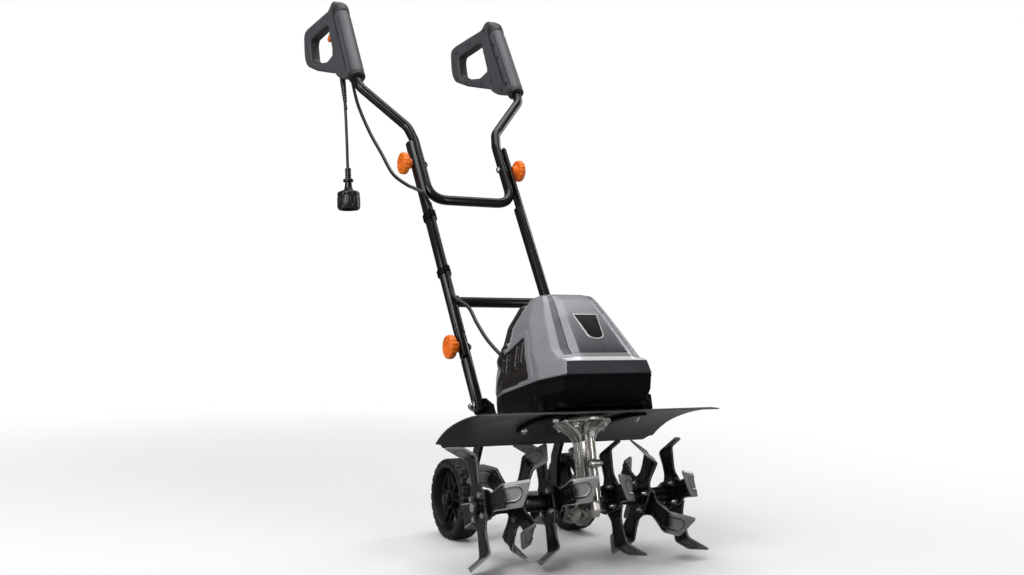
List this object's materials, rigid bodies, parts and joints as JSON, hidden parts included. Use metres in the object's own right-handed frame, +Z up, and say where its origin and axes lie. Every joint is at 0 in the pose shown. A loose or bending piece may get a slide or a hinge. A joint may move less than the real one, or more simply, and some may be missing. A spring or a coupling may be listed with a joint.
{
  "type": "electric garden tiller",
  "caption": "Corded electric garden tiller: tilted motor head over a worm gearbox, bent-blade tine discs, deck guard, transport wheels and a folding D-grip handle.",
  "frame": {"origin": "on the floor plane, at the middle of the bounding box; the tine axle is 447.7 mm in front of it", "axes": "+Z up, +X towards the machine's right as seen from its front, +Y towards the operator"},
  "size_m": [0.4728, 1.1087, 1.083],
  "materials": {
    "guard_steel": "satin dark grey powder coat",
    "black_paint": "gloss black paint",
    "cast_metal": "as-cast, lightly polished edges",
    "black_plastic": "fine grain black",
    "grey_shell": "satin light grey",
    "grip_plastic": "fine texture mid grey",
    "orange_plastic": "satin orange",
    "bright_steel": "zinc plated",
    "tine_steel": "gloss black with bright worn edges",
    "cable_rubber": "matt black",
    "motor_steel": "stacked lamination with copper windings",
    "gear_bronze": "machined bronze"
  },
  "bodies": {
    "chassis": {"deck_guard": "guard_steel", "guard_rail_left": "black_paint", "guard_rail_right": "black_paint", "gearbox_case_left": "cast_metal", "gearbox_case_right": "cast_metal", "motor_base": "black_plastic", "motor_cover": "grey_shell", "rear_vent": "black_plastic", "side_vent_left": "black_plastic", "side_vent_right": "black_plastic", "motor_stator": "motor_steel", "handle_bracket_left": "black_paint", "handle_bracket_right": "black_paint", "lower_leg_left": "black_paint", "lower_leg_right": "black_paint", "leg_bolt_left": "bright_steel", "leg_bolt_right": "bright_steel", "motor_cable_lower": "cable_rubber"},
    "wheel_carriage": {"wheel_arm_left": "black_paint", "wheel_arm_right": "black_paint", "wheel_axle": "bright_steel"},
    "left_wheel": {"wheel_left": "black_plastic"},
    "right_wheel": {"wheel_right": "black_plastic"},
    "motor_rotor": {"motor_armature": "motor_steel", "cooling_fan": "black_plastic"},
    "worm": {"worm_shaft": "bright_steel", "reduction_gear": "bright_steel"},
    "tines": {"tine_axle": "bright_steel", "worm_wheel": "gear_bronze", "tine_hub_left": "black_paint", "tine_hub_right": "black_paint", "tine_inner_left_a": "tine_steel", "tine_inner_left_b": "tine_steel", "tine_middle_left_a": "tine_steel", "tine_middle_left_b": "tine_steel", "tine_outer_left_a": "tine_steel", "tine_outer_left_b": "tine_steel", "tine_inner_right_a": "tine_steel", "tine_inner_right_b": "tine_steel", "tine_middle_right_a": "tine_steel", "tine_middle_right_b": "tine_steel", "tine_outer_right_a": "tine_steel", "tine_outer_right_b": "tine_steel"},
    "middle_handle": {"middle_frame": "black_paint", "clamp_bolt_lower_left": "bright_steel", "clamp_bolt_lower_right": "bright_steel", "clamp_bolt_upper_left": "bright_steel", "clamp_bolt_upper_right": "bright_steel", "motor_cable_middle": "cable_rubber"},
    "lower_left_knob": {"knob_lower_left": "orange_plastic"},
    "lower_right_knob": {"knob_lower_right": "orange_plastic"},
    "upper_left_knob": {"knob_upper_left": "orange_plastic"},
    "upper_right_knob": {"knob_upper_right": "orange_plastic"},
    "handlebar": {"upper_handle": "black_paint", "grip_left": "grip_plastic", "grip_right": "grip_plastic", "motor_cable_upper": "cable_rubber", "mains_lead": "cable_rubber"},
    "trigger": {"switch_trigger": "black_plastic"},
    "safety_button": {"lock_button": "orange_plastic"}
  },
  "joints": [
    {"name": "tine_spin", "type": "hinge", "parent": "chassis", "child": "tines", "pos_m": [0, -0.4477, 0.1075], "axis": [1, 0, 0], "continuous": true},
    {"name": "worm_spin", "type": "hinge", "parent": "chassis", "child": "worm", "pos_m": [0, -0.47993, 0.11662], "axis": [0, 0.2723, 0.9622], "continuous": true},
    {"name": "motor_spin", "type": "hinge", "parent": "chassis", "child": "motor_rotor", "pos_m": [0, -0.40142, 0.30226], "axis": [0, 0.2723, 0.9622], "continuous": true},
    {"name": "wheel_carriage_swing", "type": "hinge", "parent": "chassis", "child": "wheel_carriage", "pos_m": [0, -0.2357, 0.213], "axis": [1, 0, 0], "range_deg": [0, 50]},
    {"name": "wheel_left_spin", "type": "hinge", "parent": "wheel_carriage", "child": "left_wheel", "pos_m": [-0.124, -0.2068, 0.07408], "axis": [1, 0, 0], "continuous": true},
    {"name": "wheel_right_spin", "type": "hinge", "parent": "wheel_carriage", "child": "right_wheel", "pos_m": [0.124, -0.2068, 0.07408], "axis": [1, 0, 0], "continuous": true},
    {"name": "handle_fold_lower", "type": "hinge", "parent": "chassis", "child": "middle_handle", "pos_m": [0, -0.17772, 0.3535], "axis": [1, 0, 0], "range_deg": [0, 90]},
    {"name": "handle_fold_upper", "type": "hinge", "parent": "middle_handle", "child": "handlebar", "pos_m": [0, 0.07682, 0.712], "axis": [1, 0, 0], "range_deg": [-150, 0]},
    {"name": "knob_lower_left_turn", "type": "hinge", "parent": "middle_handle", "child": "lower_left_knob", "pos_m": [-0.1327, -0.17772, 0.3535], "axis": [1, 0, 0], "continuous": true},
    {"name": "knob_lower_right_turn", "type": "hinge", "parent": "middle_handle", "child": "lower_right_knob", "pos_m": [0.1327, -0.17772, 0.3535], "axis": [1, 0, 0], "continuous": true},
    {"name": "knob_upper_left_turn", "type": "hinge", "parent": "middle_handle", "child": "upper_left_knob", "pos_m": [-0.1327, 0.07682, 0.712], "axis": [1, 0, 0], "continuous": true},
    {"name": "knob_upper_right_turn", "type": "hinge", "parent": "middle_handle", "child": "upper_right_knob", "pos_m": [0.1327, 0.07682, 0.712], "axis": [1, 0, 0], "continuous": true},
    {"name": "trigger_squeeze", "type": "hinge", "parent": "handlebar", "child": "trigger", "pos_m": [-0.19, 0.35689, 1.00364], "axis": [-1, 0, 0], "range_deg": [0, 8], "stiffness_Nm_per_rad": 2},
    {"name": "safety_button_press", "type": "slide", "parent": "handlebar", "child": "safety_button", "axis": [0, -0.8062, 0.5916], "range_m": [0, 0.004], "stiffness_N_per_m": 1500}
  ],
  "couplings": [
    {"joint": "worm_spin", "follows": "tine_spin", "ratio": 20},
    {"joint": "motor_spin", "follows": "tine_spin", "ratio": -46.667}
  ]
}
